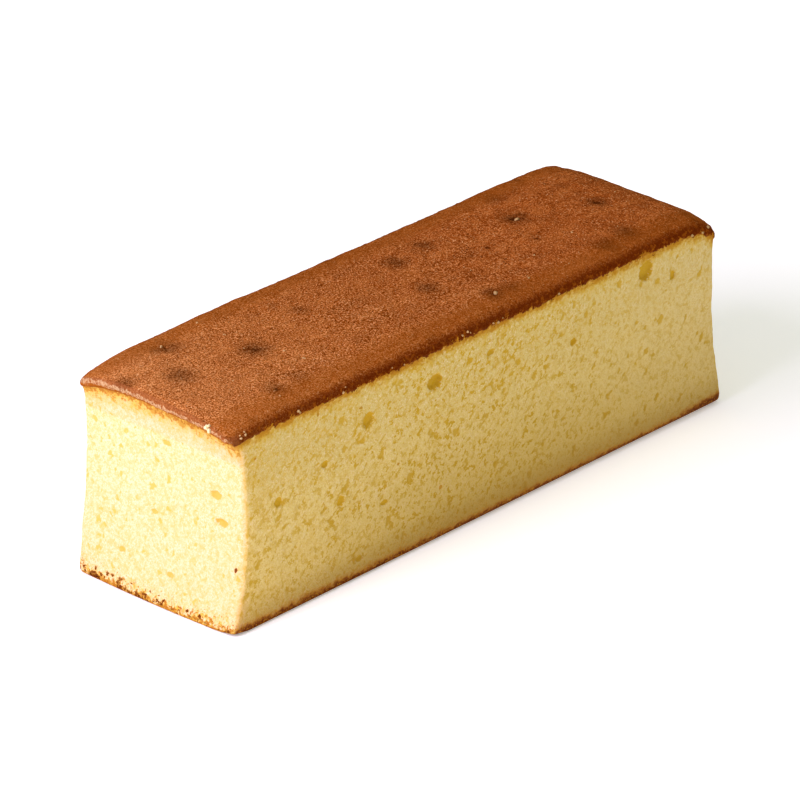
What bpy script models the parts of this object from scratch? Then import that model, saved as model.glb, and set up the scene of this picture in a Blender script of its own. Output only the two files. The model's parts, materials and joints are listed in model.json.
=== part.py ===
"""Castella sponge cake: one long bar with a thin baked skin on top and trimmed sides.

A single closed body. It rests on its flat base at z = 0, centred on x = y = 0,
with its long axis along X. A block is cut into rows of faces, close together
near its edges, and the shape functions below then move every point of it:
the upright corners and rims are rounded, the top sinks towards its edges, the
cut faces draw in at half height, and the baked skin stands out over the crumb.
"""

import bmesh
import bpy
import numpy as np

MM = 0.001

# Block that the cake is shaped from
LENGTH = 200.4 * MM
WIDTH = 60.0 * MM
HEIGHT = 62.5 * MM

# Face rows, in mm in from each edge, and the longest step between them
PLAN_ROWS = (0.7, 1.5, 2.6, 4.2, 6.6, 10.0)
BASE_ROWS = (0.6, 1.5, 3.0, 5.5)
TOP_ROWS = (0.8, 1.7, 2.7, 3.3, 4.0, 5.4, 8.0)
LONGEST_STEP = 7.4

# Baked skin: its depth down the sides and how far it stands out over the crumb
SKIN_DEPTH = 3.0 * MM
SKIN_LIP = 0.35 * MM

# Rounding of the rims, and of the upright corners
TOP_RIM_RADIUS = 2.6 * MM
BASE_RIM_LEFT = 1.6 * MM
BASE_RIM_RIGHT = 4.4 * MM
FRONT_LEFT_RADIUS = 2.2 * MM
FRONT_RIGHT_RADIUS = 3.4 * MM
BACK_LEFT_RADIUS = 2.2 * MM
BACK_RIGHT_RADIUS = 6.0 * MM

# How far the top sinks along each edge, and how far in that starts
FRONT_DROP, FRONT_REACH = 1.2 * MM, 19.0 * MM
BACK_DROP, BACK_REACH = 1.4 * MM, 21.5 * MM
LEFT_DROP, LEFT_REACH = 0.4 * MM, 13.0 * MM
RIGHT_DROP, RIGHT_REACH = 4.6 * MM, 18.0 * MM

# Further drop of the top at its corners
FRONT_LEFT_DROP = 1.0 * MM
FRONT_RIGHT_DROP = 1.8 * MM
BACK_LEFT_DROP = 3.1 * MM
BACK_RIGHT_DROP = -1.0 * MM
SHARP_CORNER_REACH = 9.5 * MM
SOFT_CORNER_REACH = 26.0 * MM

# Cut faces: how far they draw in at half height, lean in towards the top,
# and spread out again over the base
LEFT_WAIST_FRONT = 4.2 * MM
LEFT_WAIST_BACK = 2.0 * MM
RIGHT_WAIST = 1.8 * MM
LONG_WAIST = 0.6 * MM
WAIST_LEVEL_FRONT = 0.49
WAIST_LEVEL_BACK = 0.67
LEFT_LEAN = 1.3 * MM
RIGHT_LEAN = 3.7 * MM
LEFT_FOOT_FRONT = 0.2 * MM
LEFT_FOOT_BACK = 0.4 * MM
RIGHT_FOOT = 1.9 * MM
LEFT_BULGE = 0.8 * MM
FOOT_HEIGHT = 9.0 * MM

# Slow unevenness of the faces
RIPPLE = 0.25 * MM


def rows_across(size, low, high):
    """Positions of the cuts across a size, from 0, spaced closer near both edges."""
    first = [row * MM for row in low]
    last = [size - row * MM for row in high][::-1]
    steps = int(np.ceil((last[0] - first[-1]) / (LONGEST_STEP * MM)))
    middle = np.linspace(first[-1], last[0], steps + 1)[1:-1]
    return first + list(middle) + last


def eased(distance, reach):
    """1 at an edge, easing to 0 at the reach inside it."""
    return np.clip(1.0 - distance / reach, 0.0, 1.0) ** 2.5


def between(first, last, part):
    """Runs evenly from first at part -1 to last at part 1."""
    return first + (last - first) * (1.0 + part) / 2.0


def corner_radius(u, v):
    front = between(FRONT_LEFT_RADIUS, FRONT_RIGHT_RADIUS, u)
    back = between(BACK_LEFT_RADIUS, BACK_RIGHT_RADIUS, u)
    return between(front, back, v)


def corner_drop(x, y, u, v):
    """Drop of the top at its corners, which starts close to the front left one."""
    sharp = (u < 0) & (v < 0)
    reach = np.where(sharp, SHARP_CORNER_REACH, SOFT_CORNER_REACH)
    near_end = eased(LENGTH / 2 - np.abs(x), reach)
    near_side = eased(WIDTH / 2 - np.abs(y), reach)
    front = np.where(u < 0, FRONT_LEFT_DROP, FRONT_RIGHT_DROP)
    back = np.where(u < 0, BACK_LEFT_DROP, BACK_RIGHT_DROP)
    return np.where(v < 0, front, back) * near_end * near_side


def arc_pull(a, b):
    """Factor that brings a point of a square corner onto the arc in it."""
    square = (a > 0) & (b > 0)
    span = np.where(square, np.hypot(a, b), 1.0)
    return np.where(square, np.maximum(a, b) / span, 1.0), square


def ripple(p, q, seed):
    """Slow unevenness from -1 to 1 over two directions of a face."""
    first = np.sin(61.0 * p + 23.0 * q + seed)
    second = np.sin(37.0 * p - 71.0 * q + 2.3 * seed)
    third = np.sin(113.0 * p + 58.0 * q + 4.1 * seed)
    return 0.45 * first + 0.35 * second + 0.2 * third


def top_drop(x, y, u, v):
    """Depth of the top below the block's top."""
    left = eased(LENGTH / 2 + x, LEFT_REACH)
    right = eased(LENGTH / 2 - x, RIGHT_REACH)
    front = eased(WIDTH / 2 + y, FRONT_REACH)
    back = eased(WIDTH / 2 - y, BACK_REACH)
    ends = LEFT_DROP * left + RIGHT_DROP * right
    sides = FRONT_DROP * front + BACK_DROP * back
    return ends + sides + corner_drop(x, y, u, v)


def waist(w, v):
    """0 at the base and the top, 1 where a cut face draws in most."""
    level = between(WAIST_LEVEL_FRONT, WAIST_LEVEL_BACK, v)
    turn = np.clip(w, 0.0, 1.0) ** (np.log(0.5) / np.log(level))
    return np.maximum(np.sin(np.pi * turn), 0.0) ** 0.8


def foot(z):
    return np.exp(-z / FOOT_HEIGHT)


def shaped(points):
    """Points of the block moved to the cake's surface."""
    x, y, z = points.T
    u, v, w = x / (LENGTH / 2), y / (WIDTH / 2), z / HEIGHT

    # Upright corners
    radius = corner_radius(u, v)
    past_end = np.abs(x) - (LENGTH / 2 - radius)
    past_side = np.abs(y) - (WIDTH / 2 - radius)
    pull, in_corner = arc_pull(past_end, past_side)
    new_x = x - np.sign(x) * np.where(in_corner, past_end * (1.0 - pull), 0.0)
    new_y = y - np.sign(y) * np.where(in_corner, past_side * (1.0 - pull), 0.0)

    # Direction that faces out in plan, radial in a corner
    span = np.where(in_corner, np.hypot(past_end, past_side), 1.0)
    from_end = LENGTH / 2 - np.abs(x)
    from_side = WIDTH / 2 - np.abs(y)
    at_end = np.where(from_end < from_side, 1.0, 0.0)
    out_x = np.sign(x) * np.where(in_corner, past_end / span, at_end)
    out_y = np.sign(y) * np.where(in_corner, past_side / span, 1.0 - at_end)

    # Rims of the top and the base
    inside = np.minimum(from_end, from_side)
    depth = HEIGHT - z
    in_top = TOP_RIM_RADIUS - inside
    over_top = TOP_RIM_RADIUS - depth
    pull, rim = arc_pull(in_top, over_top)
    inward = np.where(rim, in_top * (1.0 - pull), 0.0)
    lower = np.where(rim, over_top * (1.0 - pull), 0.0)
    base_radius = between(BASE_RIM_LEFT, BASE_RIM_RIGHT, u)
    in_base = base_radius - inside
    over_base = base_radius - z
    pull, rim = arc_pull(in_base, over_base)
    inward = inward + np.where(rim, in_base * (1.0 - pull), 0.0)
    higher = np.where(rim, over_base * (1.0 - pull), 0.0)

    # The crumb stands back under the skin
    under_skin = np.clip((depth - SKIN_DEPTH) / (0.8 * MM), 0.0, 1.0)
    outermost = np.maximum(np.abs(u), np.abs(v))
    inward = inward + SKIN_LIP * under_skin * outermost ** 3
    new_x = new_x - out_x * inward
    new_y = new_y - out_y * inward

    # Waist, lean and foot of the cut faces, strongest at the faces themselves
    drawn = waist(w, v)
    spread = foot(z)
    left = between(LEFT_WAIST_FRONT, LEFT_WAIST_BACK, v) * drawn + LEFT_LEAN * w
    left_foot = between(LEFT_FOOT_FRONT, LEFT_FOOT_BACK, v) + LEFT_BULGE * (1.0 - v * v)
    left = left - left_foot * spread
    right = RIGHT_WAIST * drawn + RIGHT_LEAN * w - RIGHT_FOOT * spread
    end_ripple = RIPPLE * ripple(y, z, 1.0 + np.sign(x)) * np.sin(np.pi * w)
    side_ripple = RIPPLE * ripple(x, z, 2.6 + np.sign(y)) * np.sin(np.pi * w)
    ends = np.where(x < 0, left, right) - end_ripple
    sides = LONG_WAIST * drawn - side_ripple
    new_x = new_x - np.sign(x) * np.abs(u) ** 3 * ends
    new_y = new_y - np.sign(y) * np.abs(v) ** 3 * sides

    # The top sinks towards its edges
    sunk = top_drop(x, y, u, v) + RIPPLE * ripple(x, y, 0.4)
    new_z = z + higher - lower - sunk * w ** 3
    return np.stack((new_x, new_y, new_z), axis=1)


def centred(points):
    """Points moved so that the cake's box is centred over the origin, with its base on z = 0."""
    low, high = points.min(axis=0), points.max(axis=0)
    return points - np.array(((low[0] + high[0]) / 2, (low[1] + high[1]) / 2, low[2]))


def cut_rows(mesh, axis, rows):
    """Cuts the whole block straight across the axis at each of the rows."""
    normal = [0.0, 0.0, 0.0]
    normal[axis] = 1.0
    for row in rows:
        place = [0.0, 0.0, 0.0]
        place[axis] = row
        parts = mesh.verts[:] + mesh.edges[:] + mesh.faces[:]
        bmesh.ops.bisect_plane(mesh, geom=parts, plane_co=place, plane_no=normal, dist=1e-6)


def cake_mesh():
    mesh = bmesh.new()
    bmesh.ops.create_cube(mesh, size=1.0)
    bmesh.ops.translate(mesh, verts=mesh.verts, vec=(0.0, 0.0, 0.5))
    bmesh.ops.scale(mesh, verts=mesh.verts, vec=(LENGTH, WIDTH, HEIGHT))
    along = rows_across(LENGTH, PLAN_ROWS, PLAN_ROWS)
    across = rows_across(WIDTH, PLAN_ROWS, PLAN_ROWS)
    cut_rows(mesh, 0, [row - LENGTH / 2 for row in along])
    cut_rows(mesh, 1, [row - WIDTH / 2 for row in across])
    cut_rows(mesh, 2, rows_across(HEIGHT, BASE_ROWS, TOP_ROWS))
    block = np.array([tuple(vert.co) for vert in mesh.verts])
    for vert, place in zip(mesh.verts, centred(shaped(block))):
        vert.co = place
    bmesh.ops.recalc_face_normals(mesh, faces=mesh.faces)
    data = bpy.data.meshes.new("castella_cake")
    mesh.to_mesh(data)
    mesh.free()
    return data


def sponge_material():
    material = bpy.data.materials.new("sponge")
    material.use_nodes = True
    shader = material.node_tree.nodes["Principled BSDF"]
    shader.inputs["Base Color"].default_value = (0.83, 0.66, 0.30, 1.0)
    shader.inputs["Roughness"].default_value = 0.9
    shader.inputs["Metallic"].default_value = 0.0
    return material


def main():
    for thing in list(bpy.data.objects):
        bpy.data.objects.remove(thing, do_unlink=True)
    group = bpy.data.collections.new("castella_sponge_cake")
    bpy.context.scene.collection.children.link(group)
    data = cake_mesh()
    data.materials.append(sponge_material())
    data.shade_smooth()
    cake = bpy.data.objects.new("castella_cake", data)
    group.objects.link(cake)


main()
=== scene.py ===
import bpy
import json
import math
import random
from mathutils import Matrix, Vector
from mathutils.bvhtree import BVHTree

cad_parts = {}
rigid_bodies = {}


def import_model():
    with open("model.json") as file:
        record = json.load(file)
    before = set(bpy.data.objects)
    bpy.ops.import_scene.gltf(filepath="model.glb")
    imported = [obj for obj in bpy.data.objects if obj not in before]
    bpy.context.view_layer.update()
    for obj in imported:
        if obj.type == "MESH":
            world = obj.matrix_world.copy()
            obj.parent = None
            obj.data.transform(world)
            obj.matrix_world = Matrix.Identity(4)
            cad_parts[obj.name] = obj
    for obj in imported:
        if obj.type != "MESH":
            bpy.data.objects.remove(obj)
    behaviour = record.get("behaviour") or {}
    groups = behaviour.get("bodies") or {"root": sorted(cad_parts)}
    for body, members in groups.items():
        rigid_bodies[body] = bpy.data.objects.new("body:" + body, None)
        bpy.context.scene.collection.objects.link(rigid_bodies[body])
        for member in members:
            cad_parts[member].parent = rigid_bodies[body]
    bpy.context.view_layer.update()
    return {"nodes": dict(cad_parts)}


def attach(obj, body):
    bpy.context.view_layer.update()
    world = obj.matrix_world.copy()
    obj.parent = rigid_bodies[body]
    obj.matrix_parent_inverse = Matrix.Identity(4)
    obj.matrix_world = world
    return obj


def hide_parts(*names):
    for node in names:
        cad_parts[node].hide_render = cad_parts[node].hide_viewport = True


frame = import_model()


# Node wiring

class Wire:  # one output socket of a node tree, shader or geometry
    def __init__(self, tree, socket=None):
        self.tree, self.socket = tree, socket

    def feed(self, target, value):
        if isinstance(value, Wire):
            self.tree.links.new(value.socket, target)
        else:
            target.default_value = value

    def add(self, kind, settings=None, sockets=None, output=0):  # any node: settings first, then sockets
        node = self.tree.nodes.new(kind)
        for name, value in (settings or {}).items():
            setattr(node, name, value)
        for name, value in (sockets or {}).items():
            self.feed(node.inputs[name], value)
        return Wire(self.tree, node.outputs[output])

    def maths(self, operation, first, second):
        return self.add("ShaderNodeMath", {"operation": operation}, {0: first, 1: second})

    def __add__(self, other):
        return self.maths("ADD", self, other)

    def __sub__(self, other):
        return self.maths("SUBTRACT", self, other)

    def __rsub__(self, other):
        return self.maths("SUBTRACT", other, self)

    def __mul__(self, other):
        return self.maths("MULTIPLY", self, other)

    def __truediv__(self, other):
        return self.maths("DIVIDE", self, other)

    def __pow__(self, other):
        return self.maths("POWER", self, other)

    __radd__, __rmul__ = __add__, __mul__

    def larger(self, other):
        return self.maths("MAXIMUM", self, other)

    def size(self):
        return self.maths("ABSOLUTE", self, 0.0)

    def ease(self, start, end, low=0.0, high=1.0):  # smooth step from low at start to high at end
        sockets = {"Value": self, "From Min": start, "From Max": end, "To Min": low, "To Max": high}
        return self.add("ShaderNodeMapRange", {"interpolation_type": "SMOOTHSTEP"}, sockets)

    def slide(self, start, end, low=0.0, high=1.0):  # straight, held at both ends
        sockets = {"Value": self, "From Min": start, "From Max": end, "To Min": low, "To Max": high}
        return self.add("ShaderNodeMapRange", {}, sockets)

    def moved(self, operation, by):  # vector maths with a vector
        return self.add("ShaderNodeVectorMath", {"operation": operation}, {0: self, 1: by})

    def scaled(self, by):
        return self.add("ShaderNodeVectorMath", {"operation": "SCALE"}, {0: self, "Scale": by})

    def length(self):
        return self.add("ShaderNodeVectorMath", {"operation": "LENGTH"}, {0: self}, "Value")

    def part(self, axis):
        return self.add("ShaderNodeSeparateXYZ", {}, {0: self}, axis)

    def noise(self, scale, detail=2.0, rough=0.5, output="Fac"):
        sockets = {"Vector": self, "Scale": scale, "Detail": detail, "Roughness": rough}
        return self.add("ShaderNodeTexNoise", {}, sockets, output)

    def cells(self, scale):
        return self.add("ShaderNodeTexVoronoi", {}, {"Vector": self, "Scale": scale}, "Distance")

    def tint(self, other, amount, blend="MIX"):  # this colour towards another
        settings = {"data_type": "RGBA", "blend_type": blend}
        return self.add("ShaderNodeMix", settings, {0: amount, 6: self, 7: other}, 2)


def colour(red, green, blue):
    return (red, green, blue, 1.0)


# Places and sizes on the cake are in mm: x along it, y across it, z up

mm, perMetre = 0.001, 1000.0

crumbLook = {
    "voxel": 0.42,
    "kept": 0.40,  # share of the faces that Decimate leaves
    "merge": 0.00001,  # in m, the copy's doubles
    "soften": (0.5, 2),  # factor, times
    "grainTilt": math.radians(46.0),  # the way the open grain leans on the long sides
    "poreScale": 0.32,
    "poreBend": 3.4,
    "poreRelief": 0.16,
    "speckRelief": 0.15,
    "frontAt": -29.0,  # where the middles of the pores lie, on the front face
    "endAt": -97.0,  # and on the left end
    "gloss": 0.12, "rough": 0.88, "glow": 0.12,
    "pores": [  # front face: x, z, half width, half height, depth
        (-21.2, 48.6, 3.0, 2.2, 1.2), (65.4, 52.9, 2.9, 3.1, 1.2), (-47.2, 46.2, 2.1, 2.2, 0.9),
        (77.1, 47.5, 1.2, 1.4, 0.7), (35.7, 41.2, 1.3, 1.1, 0.6), (1.3, 49.7, 1.7, 1.0, 0.5),
        (-58.0, 25.8, 1.5, 1.6, 0.6), (-82.0, 34.1, 1.6, 1.5, 0.5), (-64.2, 39.0, 1.3, 1.2, 0.5),
        (-40.9, 19.3, 1.5, 0.8, 0.5), (-51.1, 6.2, 1.4, 0.9, 0.5)],
    "endPores": [  # left end: y, z, half width, half height, depth
        (-18.7, 37.6, 2.0, 1.4, 0.5), (-20.7, 30.0, 2.3, 1.3, 0.5), (13.4, 11.9, 1.5, 1.0, 0.3),
        (-4.3, 10.1, 1.6, 0.9, 0.3), (3.0, 25.9, 1.4, 0.8, 0.3), (-1.4, 47.6, 1.9, 0.9, 0.3)],
    "flecks": [  # burnt bits, places as above, the last number how burnt
        (-89.6, 55.3, 0.55, 0.45, 1.0), (-50.4, 51.0, 0.7, 0.45, 0.5), (-67.4, 55.2, 0.5, 0.8, 0.6),
        (-69.6, 55.9, 0.5, 0.4, 0.7), (-91.4, 50.4, 0.5, 0.4, 0.5), (-18.8, 16.1, 0.7, 0.6, 0.4),
        (-35.5, 29.0, 0.6, 0.5, 0.4)],
    "endFlecks": [(-26.4, 18.2, 0.5, 0.8, 1.0)],
    "pale": colour(0.81, 0.648, 0.250),
    # painted light: a lit copy of the pale crumb for the left end, which the key lamp lights
    "paleLitEnd": colour(0.83, 0.598, 0.318),
    "cream": colour(0.87, 0.700, 0.460),
    "golden": colour(0.69, 0.450, 0.070),
    "speck": colour(0.65, 0.405, 0.042),
    # painted shade: the specks' colour where the crumb is darkened low down
    "speckShaded": colour(0.45, 0.280, 0.036),
    "deep": colour(0.65, 0.395, 0.022),
    "openEnd": colour(0.68, 0.450, 0.088),
    "deepEnd": colour(0.64, 0.415, 0.068),
    # painted shade: the crumb darker towards the base
    "low": colour(0.52, 0.355, 0.092),
    "amber": colour(0.54, 0.262, 0.022),
    "amberEnd": colour(0.50, 0.270, 0.042),
    "toast": colour(0.43, 0.165, 0.020),
    "char": colour(0.15, 0.034, 0.004),
    # partly browning over the base, partly painted shade low on the sides
    "baseToastAndShade": colour(0.40, 0.245, 0.058),
    "dimShade": colour(0.865, 0.85, 0.825),  # painted shade, darker over the upper long sides; this one and those below darken or lift what is there
    # painted light, lighter by the near upright edge
    "nearEdgeLight": colour(1.07, 1.07, 1.04),
    "endTop": colour(0.96, 0.89, 0.90),
}

crustLook = {
    "spots": [  # x, y, radius, darkness, pit radius, pit depth
        (-74.7, 19.9, 5.0, 0.95, 0.9, 0.5), (-59.8, 0.7, 5.0, 1.00, 0.7, 0.4),
        (-84.5, 4.3, 5.4, 0.80, 0.0, 0.0), (-98.4, 12.9, 4.4, 0.85, 0.0, 0.0),
        (-73.4, -20.5, 4.0, 0.75, 0.8, 0.6), (-63.9, -19.9, 3.6, 0.50, 0.0, 0.0),
        (-33.4, 9.4, 3.2, 0.45, 0.0, 0.0), (7.7, 12.0, 4.4, 0.85, 0.0, 0.0),
        (21.9, 14.6, 3.6, 0.70, 0.0, 0.0), (0.9, -5.9, 4.0, 0.75, 0.0, 0.0),
        (58.6, 20.9, 3.8, 0.60, 0.0, 0.0), (52.0, 7.8, 4.4, 0.95, 1.5, 0.7),
        (75.6, -2.0, 4.0, 0.80, 1.1, 0.5), (73.5, 26.0, 1.5, 0.80, 0.8, 0.4),
        (77.9, 13.2, 2.2, 0.40, 0.0, 0.0), (45.9, -5.6, 2.2, 0.50, 0.6, 0.5),
        (32.4, 0.1, 1.6, 0.60, 0.6, 0.4), (66.6, -21.4, 5.0, 0.75, 0.0, 0.0),
        (56.5, -22.9, 4.8, 0.80, 0.0, 0.0), (11.5, -21.4, 4.4, 0.95, 1.0, 0.6),
        (17.5, -21.9, 4.0, 0.70, 0.0, 0.0)],
    "brown": colour(0.39, 0.112, 0.016),
    "light": colour(0.57, 0.212, 0.048),
    # grain colour, also laid on as a painted sheen towards the left end
    "tan": colour(0.73, 0.355, 0.128),
    "blister": colour(0.80, 0.500, 0.230),
    "dark": colour(0.170, 0.041, 0.002),
    "burnt": colour(0.075, 0.019, 0.002),
    "rim": colour(0.155, 0.028, 0.002),
    "ember": colour(0.36, 0.110, 0.010),
    # painted shade on the crust where it turns down over the left end
    "turnedShade": colour(0.27, 0.095, 0.030),
    # the crust's cut edge over the left end, with a painted highlight where the rim catches the key lamp
    "rimHighlight": colour(0.54, 0.340, 0.165),
    "fartherShade": colour(1.0, 0.93, 0.94),  # painted shade, darker towards the right
    "depth": 2.9,
    "endDepth": (2.2, 2.5),  # at the front corner, at the back corner
    "endSag": 1.0,  # and how much deeper between them
    "halfWidth": 29.0,
    "baseDepth": 1.3,
    "lip": 3.9,
    "flare": 1.3,  # of the crumb under the lip, at the front corner
    "chip": 0.7,  # lost from the corner's foot
    "sunk": 0.4,
    "broadSwell": 1.3,
    "fineSwell": 0.4,
    "crumble": 0.9,
    "spotDip": 0.25,
    "gloss": 0.0, "rough": 0.78, "glow": 0.0,
}

bodyLook = {
    "inset": 0.0012,  # in m, how far inside the surface the depth is measured from
    "reach": 0.2,  # in m, how far up it looks for the top
    "lidShrink": (0.985, 0.95, 1.0),
    "lidCentre": (0.0, 0.0, 0.03),
}


def deselected():
    if bpy.context.mode != "OBJECT":
        bpy.ops.object.mode_set(mode="OBJECT")
    bpy.ops.object.select_all(action="DESELECT")


def picked(piece):
    deselected()
    piece.select_set(True)
    bpy.context.view_layer.objects.active = piece
    return piece


def applied(piece, modifier):
    picked(piece)
    bpy.ops.object.modifier_apply(modifier=modifier.name)


def copied(source, name):
    picked(source)
    bpy.ops.object.duplicate()
    piece = bpy.context.object
    piece.name = piece.data.name = name
    piece.parent = None
    for key in [key for key in piece.keys() if key.startswith("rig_")]:
        del piece[key]
    return piece


# Fields that the relief and the colours share

def leaning(where):  # the open grain runs slanting upwards
    turn = {"Vector": where, "Angle": crumbLook["grainTilt"]}
    return where.add("ShaderNodeVectorRotate", {"rotation_type": "Y_AXIS"}, turn)


def mediumPores(where):  # irregular pores of 1 to 2 mm
    swirl = where.noise(0.5, 1.0, 0.5, "Color").moved("SUBTRACT", (0.5, 0.5, 0.5))
    swirl = swirl.scaled(crumbLook["poreBend"])
    bent = leaning(where).moved("ADD", swirl).moved("MULTIPLY", (0.7, 1.0, 1.0))
    distance = bent.cells(crumbLook["poreScale"])
    chance = Wire(bent.tree, distance.socket.node.outputs["Color"]).part("X")
    reach = chance.slide(0.25, 1.0, 0.02, 0.38)
    return (reach - distance).ease(-0.06, 0.12)


def ovals(where, ragged, rows, end):  # pores with their own places, deepest in the middle
    deepest = None
    for across, z, wide, tall, depth in rows:
        centre = (crumbLook["endAt"], across, z) if end else (across, crumbLook["frontAt"], z)
        shape = (0.12, 1.0 / wide, 1.0 / tall) if end else (1.0 / wide, 0.14, 1.0 / tall)
        reach = where.moved("SUBTRACT", centre).moved("MULTIPLY", shape).length()
        hollow = (reach + ragged).ease(1.12, 0.70) * depth
        deepest = hollow if deepest is None else deepest.larger(hollow)
    return deepest


def bigPores(where, ragged):
    front = ovals(where, ragged, crumbLook["pores"], False)
    return front.larger(ovals(where, ragged, crumbLook["endPores"], True))


def raggedness(where):  # what makes the pores' outlines uneven
    return where.noise(1.2, 3.0, 0.6) - 0.5


def crustSpots(where):  # dark blotches, and the pits in some of them
    spots, pits = None, None
    wander, ragged = where.noise(0.35, 2.0) * 3.0 - 1.5, where.noise(1.1, 1.0) * 1.2 - 0.6
    for x, y, radius, dark, pit, depth in crustLook["spots"]:
        away = where.moved("SUBTRACT", (x, y, 0.0)).moved("MULTIPLY", (1.0, 1.0, 0.0)).length()
        shade = (away + wander).ease(radius * 1.45, 0.0) * dark
        spots = shade if spots is None else spots.larger(shade)
        if pit:
            hollow = (away + ragged).ease(pit * 1.25, pit * 0.4) * depth
            pits = hollow if pits is None else pits.larger(hollow)
    return spots, pits


def skinDepth(where, endFace):  # how far the crust comes down, deeper at the back of the ends
    near, far = crustLook["endDepth"]
    across = where.part("Y") / crustLook["halfWidth"]
    atEnd = across.slide(-1.0, 1.0, near, far) + (1.0 - across * across) * crustLook["endSag"]
    return atEnd * endFace + (1.0 - endFace) * crustLook["depth"]


# Relief: one geometry tree for the whole body, applied before it is parted

def reliefTree():
    crumb, crust = crumbLook, crustLook
    tree = bpy.data.node_groups.new("cakeRelief", "GeometryNodeTree")
    tree.interface.new_socket("Geometry", in_out="INPUT", socket_type="NodeSocketGeometry")
    tree.interface.new_socket("Geometry", in_out="OUTPUT", socket_type="NodeSocketGeometry")
    start = Wire(tree)
    body = start.add("NodeGroupInput")
    place = start.add("GeometryNodeInputPosition")
    where = place.scaled(perMetre)
    facing = start.add("GeometryNodeInputNormal")
    outX, outZ = facing.part("X"), facing.part("Z")

    # depth under the top, measured straight up from just inside the surface
    inside = place.moved("SUBTRACT", facing.scaled(bodyLook["inset"]))
    rayIn = {"Target Geometry": body, "Source Position": inside, "Ray Direction": (0.0, 0.0, 1.0),
             "Ray Length": bodyLook["reach"]}
    under = start.add("GeometryNodeRaycast", {}, rayIn, "Hit Distance") * perMetre
    under = (under - outZ.larger(0.0) * 1.2).larger(0.0) + place.part("Z").ease(0.050, 0.047) * 60.0
    upright = 1.0 - outZ.size().ease(0.25, 0.75)
    topFace = outZ.ease(0.35, 0.85)
    endFace = outX.size().ease(0.45, 0.85)
    height = where.part("Z")
    below = under - skinDepth(where, endFace)
    inCrumb = upright * below.ease(0.0, 1.2) * height.ease(1.0, 2.6)
    onSkin = below.ease(0.5, -0.3)

    pores = (bigPores(where, raggedness(where)) + mediumPores(where) * crumb["poreRelief"]) * inCrumb
    specks = leaning(where).moved("MULTIPLY", (0.65, 1.0, 1.0)).noise(0.8, 2.0, 0.6)
    uneven = ((where.noise(0.11, 3.0) - 0.5) + (0.5 - specks.larger(0.5)) * crumb["speckRelief"]) * inCrumb
    spots, pits = crustSpots(where)
    broad, fine = where.noise(0.055, 2.0) - 0.5, where.noise(0.3, 2.0) - 0.5
    swell = (broad * crust["broadSwell"] + fine * crust["fineSwell"]) * topFace
    crumbly = (where.noise(0.6, 3.0, 0.7) - 0.5) * crust["crumble"] * onSkin * (1.0 - topFace)
    lift = swell + uneven - pores + crumbly - (pits + spots * crust["spotDip"] + crust["sunk"]) * topFace

    # the crust stands out a little over the cut end, most at the front corner
    alongX, acrossY = where.part("X"), where.part("Y")
    lip = alongX.slide(-92.0, -99.5) * onSkin * acrossY.slide(8.0, -29.0, 0.15, 1.0) * crust["lip"]
    nearCorner = alongX.slide(-92.0, -99.0) * acrossY.slide(-18.0, -29.0)
    flare = nearCorner * below.ease(7.0, 0.0) * (1.0 - onSkin) * crust["flare"]
    droop = nearCorner * below.ease(1.5, -0.5)
    chipped = alongX.ease(-93.0, -99.5) * acrossY.ease(-22.0, -29.5) * height.ease(5.0, 0.0) * crust["chip"]
    shift = start.add("ShaderNodeCombineXYZ", {}, {"X": (lip + flare) * -1.0, "Z": chipped - droop})
    offset = facing.scaled(lift).moved("ADD", shift).scaled(mm)
    marked, settings = body, {"data_type": "FLOAT", "domain": "POINT"}
    for name, value in (("belowSkin", below), ("topFace", topFace), ("endFace", endFace)):
        sockets = {"Geometry": marked, "Name": name, "Value": value}
        marked = start.add("GeometryNodeStoreNamedAttribute", settings, sockets)
    moved = start.add("GeometryNodeSetPosition", {}, {"Geometry": marked, "Offset": offset})
    end = tree.nodes.new("NodeGroupOutput")
    tree.links.new(moved.socket, end.inputs[0])
    return tree


def wholeBody():
    body = copied(frame["nodes"]["castella_cake"], "wholeBody")
    bpy.ops.object.mode_set(mode="EDIT")
    bpy.ops.mesh.select_all(action="SELECT")
    bpy.ops.mesh.remove_doubles(threshold=crumbLook["merge"])
    bpy.ops.object.mode_set(mode="OBJECT")
    fine = body.modifiers.new("fine", "REMESH")
    fine.mode, fine.voxel_size = "VOXEL", crumbLook["voxel"] * mm
    applied(body, fine)
    soften = body.modifiers.new("soften", "SMOOTH")
    soften.factor, soften.iterations = crumbLook["soften"]
    applied(body, soften)
    relief = body.modifiers.new("relief", "NODES")
    relief.node_group = reliefTree()
    applied(body, relief)
    thin = body.modifiers.new("thin", "DECIMATE")
    thin.ratio = crumbLook["kept"]
    applied(body, thin)
    print("whole body:", len(body.data.polygons), "faces")
    return body


def parted(body, name, keeps):  # a copy of the faces kept, closed by lids that lie inside the cake
    piece = copied(body, name)
    mesh = piece.data
    depth = mesh.attributes["belowSkin"].data
    for face in mesh.polygons:
        middle = sum(depth[corner].value for corner in face.vertices) / len(face.vertices)
        face.select = not keeps(middle, face.center.z * perMetre)
    bpy.ops.object.mode_set(mode="EDIT")
    bpy.ops.mesh.select_mode(type="FACE")
    bpy.ops.mesh.delete(type="FACE")
    bpy.ops.mesh.select_mode(type="EDGE")
    bpy.ops.mesh.select_all(action="DESELECT")
    bpy.ops.mesh.select_non_manifold(extend=False, use_wire=False, use_multi_face=False,
                                     use_non_contiguous=False, use_verts=False)
    bpy.ops.mesh.mark_sharp()
    bpy.ops.mesh.extrude_edges_move()
    bpy.ops.transform.resize(value=bodyLook["lidShrink"], center_override=bodyLook["lidCentre"])
    bpy.ops.mesh.fill_holes(sides=0)
    bpy.ops.mesh.select_all(action="SELECT")
    bpy.ops.mesh.normals_make_consistent(inside=False)
    bpy.ops.object.mode_set(mode="OBJECT")
    picked(piece)
    bpy.ops.object.shade_smooth()
    print(name + ":", len(mesh.polygons), "faces")
    return piece


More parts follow.
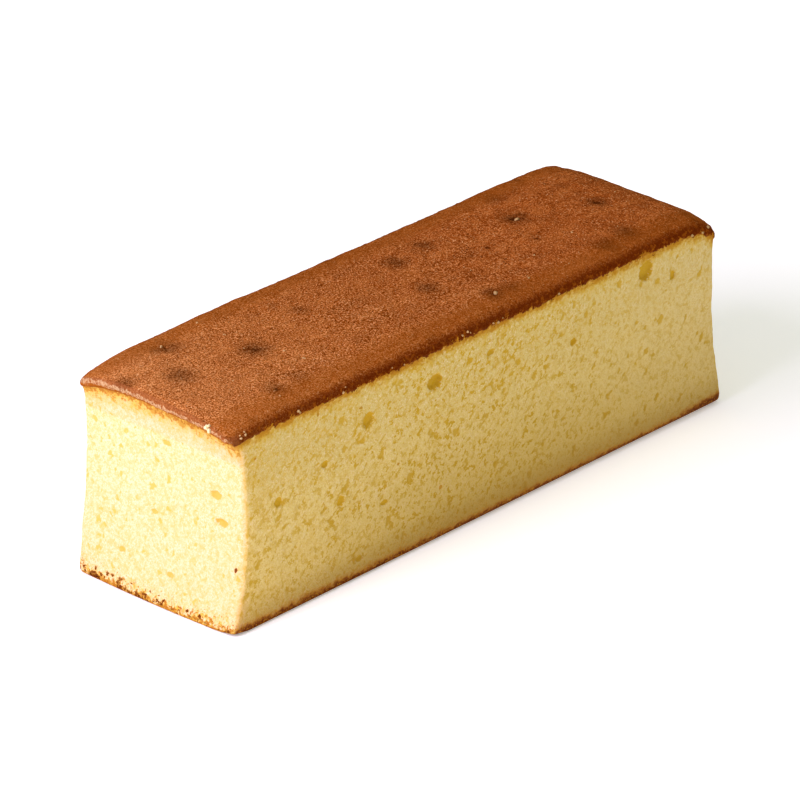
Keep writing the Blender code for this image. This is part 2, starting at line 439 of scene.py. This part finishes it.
body = wholeBody()
seam = crustLook["baseDepth"]
sponge = parted(body, "sponge", lambda below, z: below >= 0.0 and z >= seam)
topCrust = parted(body, "top_crust", lambda below, z: below < 0.0)
baseCrust = parted(body, "base_crust", lambda below, z: below >= 0.0 and z < seam)
bpy.data.objects.remove(body, do_unlink=True)


# Looks

def flat(start, value):  # one colour, to be tinted further
    return start.add("ShaderNodeMix", {"data_type": "RGBA"}, {0: 0.0, 6: value, 7: value}, 2)


def crumbColour(where, endFace):  # pale foam, golden where it opens, with painted shade and painted light on it; its relief comes with it
    look = crumbLook
    height, along, across = where.part("Z"), where.part("X"), where.part("Y")
    side = 1.0 - endFace
    grain = where.noise(2.3, 1.0, 0.6)
    soft = where.noise(1.15, 1.0, 0.5)
    lean = leaning(where).moved("MULTIPLY", (0.80, 1.0, 1.0))
    busy = where.noise(0.20, 2.0).slide(0.38, 0.62, 0.60, 1.20)
    blotch = where.noise(0.50, 2.0, 0.6)
    specks = lean.noise(0.78, 3.0, 0.66).ease(0.525, 0.585) * busy
    ragged = raggedness(where)
    medium, big = mediumPores(where.scaled(endFace * 0.45 + 1.0)), bigPores(where, ragged)
    calm = along.slide(-80.0, -20.0, 0.74, 1.08) * along.slide(0.0, 60.0, 1.0, 0.46)
    corner = along.ease(-93.0, -98.0) * across.ease(-20.0, -28.0)
    leftEnd = endFace * along.ease(60.0, -60.0)
    # painted light: the lit copy of the crumb colour on the left end and the near corner
    shade = flat(where, look["pale"]).tint(look["paleLitEnd"], leftEnd.larger(corner))
    # painted light: lighter towards the right end
    shade = shade.tint(look["cream"], along.slide(20.0, 98.0, 0.0, 0.26))
    # painted shade: darker over the upper long side, most towards the left
    dimShade = height.ease(26.0, 50.0) * along.slide(-75.0, -35.0, 1.0, 0.68) * side
    shade = shade.tint(look["dimShade"], dimShade, "MULTIPLY")
    # painted light: lighter by the near upright edge
    shade = shade.tint(look["nearEdgeLight"], along.ease(-88.0, -97.0) * side, "MULTIPLY")
    shade = shade.tint(look["golden"], along.ease(-78.0, -95.0) * blotch.ease(0.40, 0.60) * side * 0.36)
    shade = shade.tint(look["cream"], grain.ease(0.50, 0.28) * calm * 0.72)
    shade = shade.tint(look["golden"], grain.ease(0.50, 0.72) * calm * (endFace * 0.20 + 0.34))
    shade = shade.tint(look["golden"], soft.ease(0.48, 0.66) * 0.30)
    shade = shade.tint(look["golden"], blotch.ease(0.50, 0.66) * calm * 0.38)
    # painted shade: darker towards the base, less at the left and right ends, with a shaded copy of the
    # specks' colour there
    low = height.slide(56.0, 1.0) ** 1.7 * along.slide(-95.0, -20.0, 0.28, 1.0) * (1.0 - endFace * 0.85)
    low = low * along.slide(30.0, 98.0, 1.0, 0.72)
    shade = shade.tint(look["low"], low * 0.95)
    opened = flat(where, look["speck"]).tint(look["speckShaded"], low).tint(look["openEnd"], endFace)
    shade = shade.tint(opened, specks * calm * (0.95 - endFace * 0.35))
    shade = shade.tint(opened, medium * (0.85 + endFace * 0.05))
    shade = shade.tint(flat(where, look["deep"]).tint(look["deepEnd"], endFace), big.ease(0.02, 0.35) * 0.90)
    shade = shade.tint(look["golden"], corner * across.ease(-26.5, -29.2) * 0.15)
    flecks = ovals(where, ragged, look["flecks"], False)
    flecks = flecks.larger(ovals(where, ragged, look["endFlecks"], True))
    shade = shade.tint(look["amber"], flecks.ease(0.05, 0.35) * 0.85)
    shade = shade.tint(look["char"], flecks.ease(0.55, 0.85) * 0.9)
    foam = (grain - 0.5) * -0.15 + (soft - 0.5) * -0.09
    return shade, foam


def toastedAndShaded(shade, where, below, endFace):  # amber under the crust, browned crumb over the base, and painted shade low on the sides
    look = crumbLook
    height, across = where.part("Z"), where.part("Y")
    side = 1.0 - endFace
    below = below - across.slide(8.0, -29.0, 0.0, 2.2) * endFace  # the lip hides the first of it
    blobs = where.noise(0.42, 3.0, 0.62)
    bits = where.noise(0.95, 2.0, 0.6)
    specks = where.noise(1.7, 1.0, 0.5)
    patchy = below + (blobs - 0.5) * -9.0
    ambered = flat(shade, look["amber"]).tint(look["amberEnd"], endFace)
    shade = shade.tint(look["golden"], patchy.ease(endFace * 2.5 + 5.0, 1.0) * (0.95 - endFace * 0.15))
    shade = shade.tint(look["golden"], (below + (blobs - 0.5) * -5.0).ease(3.6, 0.6) * endFace * 0.75)
    shade = shade.tint(look["endTop"], below.ease(24.0, 4.0) * endFace, "MULTIPLY")
    fringe = (below + (bits - 0.5) * 5.0).ease(3.4, 1.2) * blobs.ease(0.30, 0.52)
    shade = shade.tint(ambered, fringe * side * 0.90)
    under = below / (endFace * 2.6 + 2.6)
    near = under.ease(1.3, 0.8)
    amber = (blobs * 0.6 + bits * 0.4 - under.slide(0.0, 1.0, 0.38, 0.60)).ease(-0.02, 0.06) * near
    shade = shade.tint(ambered, amber * 0.85)
    toast = (bits - under.slide(0.0, 0.8, 0.42, 0.68)).ease(-0.02, 0.05) * near
    shade = shade.tint(look["toast"], toast * 0.75)

    rightEnd = where.part("X").ease(72.0, 96.0) * 1.4
    rough = height + (blobs - 0.5) * 3.0 + (bits - 0.5) * 1.6 - rightEnd
    # partly browning towards the base, partly painted shade where the floor meets the sides
    shade = shade.tint(look["baseToastAndShade"], height.ease(13.0, 0.5) * side * 0.62)
    shade = shade.tint(look["toast"], rough.ease(4.0, 1.8) * side * 0.90)
    shade = shade.tint(look["char"], rough.ease(3.0, 1.3) * side * 0.94)
    foot = endFace * height.ease(6.5, 4.5)
    browned = (blobs * 0.6 + bits * 0.4 - height.slide(0.3, 4.6, 0.40, 0.64)).ease(-0.02, 0.04) * foot
    shade = shade.tint(look["deep"], browned * 0.70)
    browned = (bits * 0.6 + blobs * 0.4 - height.slide(0.2, 3.6, 0.40, 0.64)).ease(-0.02, 0.04) * foot
    shade = shade.tint(ambered, browned * 0.85)
    browned = (bits - height.slide(0.3, 4.0, 0.42, 0.68)).ease(-0.02, 0.04) * foot
    shade = shade.tint(look["toast"], browned * 0.90)
    burnt = across.slide(-29.0, 29.0, 0.56, 0.47) + height * 0.026
    burnt = where.noise(0.46, 3.0, 0.6) - burnt
    shade = shade.tint(ambered, burnt.ease(-0.04, -0.01) * height.ease(5.0, 3.6) * endFace * 0.90)
    shade = shade.tint(look["char"], burnt.ease(-0.008, 0.012) * height.ease(4.6, 3.4) * endFace * 0.95)
    dotted = (specks - height.slide(1.0, 8.0, 0.53, 0.72)).ease(0.0, 0.05) * height.ease(9.0, 6.0)
    shade = shade.tint(ambered, dotted * 0.55)
    return shade


def crustColour(where, below, topFace, endFace):  # brown with darker spots, grain and streaks along it, with painted shade, sheen and highlight on it
    look = crustLook
    across, along = where.part("Y"), where.part("X")
    streaks = where.moved("MULTIPLY", (0.40, 1.0, 1.0)).noise(0.22, 3.0, 0.6)
    mottle = where.noise(0.75, 2.0, 0.65)
    fine = (where.noise(2.3, 2.0, 0.7) - 0.5) * along.slide(-20.0, 60.0, 0.88, 0.55) + 0.5
    spots, pits = crustSpots(where)
    skin = flat(where, look["brown"]).tint(look["light"], streaks.ease(0.46, 0.68) * 0.50)
    # painted sheen: paler tan towards the left end
    skin = skin.tint(look["tan"], along.ease(-20.0, -100.0) * 0.20)
    skin = skin.tint(look["dark"], streaks.ease(0.50, 0.30) * 0.35)
    skin = skin.tint(look["light"], mottle.ease(0.50, 0.72) * 0.45)
    skin = skin.tint(look["dark"], mottle.ease(0.50, 0.30) * 0.45)
    skin = skin.tint(look["tan"], fine.ease(0.49, 0.62))
    skin = skin.tint(look["dark"], fine.ease(0.50, 0.37))
    dots = where.noise(1.9, 0.0)
    skin = skin.tint(look["burnt"], dots.ease(0.27, 0.21) * 0.85)
    skin = skin.tint(look["blister"], dots.ease(0.73, 0.79) * 0.85)
    # painted shade: darker towards the right
    skin = skin.tint(look["fartherShade"], along.slide(-60.0, 40.0), "MULTIPLY")
    # painted sheen: more tan at the left end, towards the back
    skin = skin.tint(look["tan"], along.ease(-60.0, -95.0) * across.ease(-15.0, 10.0) * 0.08)
    skin = skin.tint(look["burnt"], spots * fine.slide(0.34, 0.62, 1.0, 0.55))
    skin = skin.tint(look["burnt"], pits.ease(0.05, 0.5) * 0.8)
    fromSide = 29.6 - across.size() + (mottle - 0.5) * 3.0
    side, upright = 1.0 - endFace, 1.0 - topFace
    away = along.slide(-96.0, -50.0, 0.45, 1.0)
    skin = skin.tint(look["ember"], fromSide.ease(12.0, 5.0) * side * 0.45)
    skin = skin.tint(look["dark"], fromSide.ease(10.0, 5.0) * side * 0.10)
    grit = fine.slide(0.36, 0.64, 1.20, 0.70)
    skin = skin.tint(look["rim"], fromSide.ease(2.9, 0.0) * side * away * grit * 0.58)
    skin = skin.tint(look["rim"], upright * side * (away * 0.3 + 0.54) * grit)
    skin = skin.tint(look["ember"], upright * side * mottle.ease(0.50, 0.66) * 0.70)
    # painted shade: darker where the crust turns down over the left end, against the key lamp's light
    skin = skin.tint(look["turnedShade"], upright.ease(0.0, 0.9) * endFace.larger(along.ease(-96.0, -99.0)) * 0.70)
    chips = where.noise(1.3, 2.0, 0.7)
    edge = below + (mottle - 0.5) * 1.8 + (chips - 0.5) * 1.6
    # a pale strip along the crust's rim over the left end: its cut edge, with a painted highlight where the
    # rim catches the key lamp
    highlightStrip = edge / across.slide(-15.0, 29.0, 0.80, 1.15)
    highlightStrip = highlightStrip.ease(-0.40, -0.62) * highlightStrip.ease(-1.65, -1.25) * chips.ease(0.34, 0.56)
    skin = skin.tint(look["rimHighlight"], endFace * highlightStrip)
    skin = skin.tint(look["ember"], endFace * edge.ease(-0.75, -0.40) * 0.85)
    return skin, (mottle - 0.5) * 0.35 + (fine - 0.5) * 0.50


def cakeColour(where):  # crumb and crust share it, so that their seam can't be seen
    def stored(name):
        return where.add("ShaderNodeAttribute", {"attribute_name": name}, {}, "Fac")

    below, topFace, endFace = stored("belowSkin"), stored("topFace"), stored("endFace")
    crumb, foam = crumbColour(where, endFace)
    crumb = toastedAndShaded(crumb, where, below, endFace)
    skin, dents = crustColour(where, below, topFace, endFace)
    ragged = (where.noise(0.38, 3.0, 0.6) - 0.5) * 6.0 + (where.noise(1.3, 2.0) - 0.5) * 2.6
    ragged = ragged * where.part("X").slide(-99.0, -94.0, 0.25, 1.0)
    onSkin = (below + ragged).ease(0.60, 0.15)
    return crumb.tint(skin, onSkin), dents * onSkin + foam * (1.0 - onSkin)


def bakedMaterial(name, finish):
    material = bpy.data.materials.new(name)
    material.use_nodes = True
    tree = material.node_tree
    tree.nodes.clear()
    where = Wire(tree).add("ShaderNodeTexCoord", {}, {}, "Object").scaled(perMetre)
    look, relief = cakeColour(where)
    bump = where.add("ShaderNodeBump", {}, {"Strength": 0.9, "Distance": mm, "Height": relief})
    rough = where.noise(0.9, 2.0).slide(0.3, 0.7, finish["rough"] - 0.08, finish["rough"] + 0.08)
    shader = tree.nodes.new("ShaderNodeBsdfPrincipled")
    tree.links.new(look.socket, shader.inputs["Base Color"])
    tree.links.new(bump.socket, shader.inputs["Normal"])
    tree.links.new(rough.socket, shader.inputs["Roughness"])
    shader.inputs["Specular IOR Level"].default_value = finish["gloss"]
    shader.inputs["Subsurface Weight"].default_value = finish["glow"]
    shader.inputs["Subsurface Radius"].default_value = (1.0, 0.8, 0.45)
    shader.inputs["Subsurface Scale"].default_value = 0.002
    shown = tree.nodes.new("ShaderNodeOutputMaterial")
    tree.links.new(shader.outputs[0], shown.inputs["Surface"])
    return material


crumbBake = bakedMaterial("castella crumb", crumbLook)
crustBake = bakedMaterial("castella crust", crustLook)
for piece, material in ((sponge, crumbBake), (topCrust, crustBake), (baseCrust, crustBake)):
    piece.data.materials.clear()
    piece.data.materials.append(material)
    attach(piece, "root")
    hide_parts("castella_cake")

crumbsLook = {
    "seed": 11,
    "edge": 18, "edgeRadius": (0.18, 0.42), "edgeReach": 92.0,
    "edgeHeight": 59.0, "edgeFall": 0.02, "edgeSpread": 0.5,
    "scattered": 26, "scatteredRadius": (0.12, 0.28),
    "fromFront": -60.0, "fromAbove": 90.0,  # where the look for the crust starts
    "lift": 0.0003,  # in m for each mm of radius, off the crust
    "seedSize": 0.0003,  # in m, what the first lump ends as
    "placed": [  # x, y, z to look from, facing, radius: crumbs with their own places
        (-97.2, -60.0, 58.6, "front", 0.32), (-97.1, -60.0, 59.2, "front", 0.30),
        (-95.4, -60.0, 59.0, "front", 0.32), (-95.3, -60.0, 59.6, "front", 0.28),
        (-130.0, 8.4, 57.8, "end", 0.60), (-130.0, -20.9, 60.2, "end", 0.60),
        (-130.0, -22.0, 59.6, "end", 0.55), (-130.0, -21.6, 60.8, "end", 0.40),
        (52.4, 7.4, 90.0, "top", 0.75), (12.0, -21.0, 90.0, "top", 0.55), (-75.2, 21.2, 90.0, "top", 0.40)],
    "pale": colour(0.60, 0.40, 0.17),
    "atEnd": colour(0.90, 0.74, 0.40),
}


def crumbSeed(name):  # one small uneven lump, copied for every crumb
    deselected()
    bpy.ops.mesh.primitive_ico_sphere_add(subdivisions=2, radius=1.0)
    seed = bpy.context.object
    seed.name = name
    bpy.ops.object.mode_set(mode="EDIT")
    bpy.ops.mesh.select_all(action="SELECT")
    bpy.ops.transform.vertex_random(offset=0.28, uniform=0.6, normal=0.4, seed=3)
    bpy.ops.object.mode_set(mode="OBJECT")
    return seed


def looseCrumbs(surface):
    look, dice = crumbsLook, random.Random(crumbsLook["seed"])
    ways = {"front": Vector((0.0, 1.0, 0.0)), "end": Vector((1.0, 0.0, 0.0)),
            "top": Vector((0.0, 0.0, -1.0))}
    rows, reach = list(look["placed"]), look["edgeReach"]
    for _ in range(look["edge"]):
        x, radius = dice.uniform(-reach, reach), dice.uniform(*look["edgeRadius"])
        z = look["edgeHeight"] - max(x, 0.0) * look["edgeFall"] + dice.gauss(0.0, look["edgeSpread"])
        rows.append((x, look["fromFront"], z, "front", radius))
    for _ in range(look["scattered"]):
        x, y = dice.uniform(-95.0, 92.0), dice.uniform(-27.0, 27.0)
        rows.append((x, y, look["fromAbove"], "top", dice.uniform(*look["scatteredRadius"])))
    seed = crumbSeed("loose_crumbs")
    crumbs = []
    for x, y, z, way, radius in rows:
        hit, normal, _, _ = surface.ray_cast(Vector((x, y, z)) / perMetre, ways[way])
        if hit is None:
            continue
        picked(seed)
        bpy.ops.object.duplicate()
        crumb = bpy.context.object
        crumb.location = hit + normal * radius * look["lift"]
        crumb.rotation_euler = [dice.uniform(0.0, 6.28) for _ in range(3)]
        crumb.scale = [radius * mm * dice.uniform(0.7, 1.3) for _ in range(3)]
        crumbs.append(crumb)
    deselected()
    for crumb in crumbs:
        crumb.select_set(True)
    seed.select_set(True)
    bpy.context.view_layer.objects.active = seed
    seed.scale = (look["seedSize"],) * 3
    seed.location = crumbs[0].location
    bpy.ops.object.join()
    bpy.ops.object.transform_apply(location=True, rotation=True, scale=True)
    bpy.ops.object.shade_smooth()
    return seed


def crumbsMaterial():
    material = bpy.data.materials.new("castella loose crumbs")
    material.use_nodes = True
    tree = material.node_tree
    where = Wire(tree).add("ShaderNodeTexCoord", {}, {}, "Object").scaled(perMetre)
    shade = flat(where, crumbsLook["pale"]).tint(crumbsLook["atEnd"], where.part("X").ease(-97.0, -99.0))
    shader = tree.nodes["Principled BSDF"]
    tree.links.new(shade.socket, shader.inputs["Base Color"])
    sockets = {"Strength": 0.8, "Distance": 0.0003, "Height": where.noise(4.0, 2.0)}
    bump = where.add("ShaderNodeBump", {}, sockets)
    tree.links.new(bump.socket, shader.inputs["Normal"])
    shader.inputs["Roughness"].default_value = 0.9
    shader.inputs["Specular IOR Level"].default_value = 0.15
    return material


crumbs = looseCrumbs(BVHTree.FromObject(topCrust, bpy.context.evaluated_depsgraph_get()))
crumbs.data.materials.append(crumbsMaterial())
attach(crumbs, "root")
print("looks on, loose crumbs", len(crumbs.data.polygons), "faces")


# Floor, light and camera

studio = {
    "floor": {"size": 60.0, "rough": 0.9, "colour": colour(0.90, 0.917, 0.892),
              "nearGlow": colour(0.27, 0.274, 0.268), "farGlow": colour(0.60, 0.60, 0.60),
              "glowReach": (0.13, 0.34)},
    "look": "Medium High Contrast",
    "world": (0.16, colour(1.0, 0.96, 0.90)),
    "lamps": {
        "key": {"kind": "AREA", "place": (-0.42, 0.05, 0.33), "size": 0.36, "power": 2.3,
                "tone": (0.98, 0.86, 1.22)},
        "sky": {"kind": "SUN", "place": (-0.15, -0.35, 0.90), "size": 1.2, "power": 0.92,
                "tone": (0.96, 0.95, 0.88)},
        "fill": {"kind": "AREA", "place": (0.45, -0.45, 0.14), "size": 0.40, "power": 0.11,
                 "tone": (0.95, 1.0, 1.30)}},
    "lampAim": (0.0, 0.0, 0.03),
    "azimuth": -47.29, "elevation": 25.37, "roll": 0.15, "distance": 1.981,
    "centre": (0.0, 0.0, 0.03093), "aim": (-0.00295, 0.00053, 0.02714),
    "lens": 323.2, "sensor": 36.0, "clipEnd": 30.0,
}

deselected()
ground = studio["floor"]
bpy.ops.mesh.primitive_plane_add(size=ground["size"], location=(0.0, 0.0, 0.0))
floor = bpy.context.object
floor.name = "floor"
floorLook = bpy.data.materials.new("pale floor")
floorLook.use_nodes = True
floorShader = floorLook.node_tree.nodes["Principled BSDF"]
floorShader.inputs["Base Color"].default_value = ground["colour"]
floorShader.inputs["Roughness"].default_value = ground["rough"]
away = Wire(floorLook.node_tree).add("ShaderNodeTexCoord", {}, {}, "Object").length()
spread = away.ease(*ground["glowReach"])
glow = flat(spread, ground["nearGlow"]).tint(ground["farGlow"], spread)
floorLook.node_tree.links.new(glow.socket, floorShader.inputs["Emission Color"])
floorShader.inputs["Emission Strength"].default_value = 1.0
floor.data.materials.append(floorLook)

world = bpy.data.worlds.new("studio")
world.use_nodes = True
bpy.context.scene.world = world
world.node_tree.nodes["Background"].inputs[0].default_value = studio["world"][1]
world.node_tree.nodes["Background"].inputs[1].default_value = studio["world"][0]

for name, lamp in studio["lamps"].items():
    bpy.ops.object.light_add(type=lamp["kind"], location=lamp["place"])
    light = bpy.context.object
    light.name = name
    light.data.energy, light.data.color = lamp["power"], lamp["tone"]
    if lamp["kind"] == "SUN":
        light.data.angle = lamp["size"]
    else:
        light.data.shape, light.data.size = "SQUARE", lamp["size"]
    light.rotation_euler = (Vector(studio["lampAim"]) - light.location).to_track_quat("-Z", "Y").to_euler()

turn, tilt = math.radians(studio["azimuth"]), math.radians(studio["elevation"])
back = Vector((math.sin(turn) * math.cos(tilt), -math.cos(turn) * math.cos(tilt), math.sin(tilt)))
bpy.ops.object.camera_add(location=Vector(studio["centre"]) + back * studio["distance"])
camera = bpy.context.object
view = (Vector(studio["aim"]) - camera.location).to_track_quat("-Z", "Y").to_matrix().to_4x4()
camera.rotation_euler = view.to_euler()
camera.rotation_euler.rotate_axis("Z", math.radians(studio["roll"]))
camera.data.lens, camera.data.sensor_width = studio["lens"], studio["sensor"]
camera.data.clip_end = studio["clipEnd"]
bpy.context.scene.camera = camera
bpy.context.scene.view_settings.view_transform = "Standard"
bpy.context.scene.view_settings.look = studio["look"]

print("done")
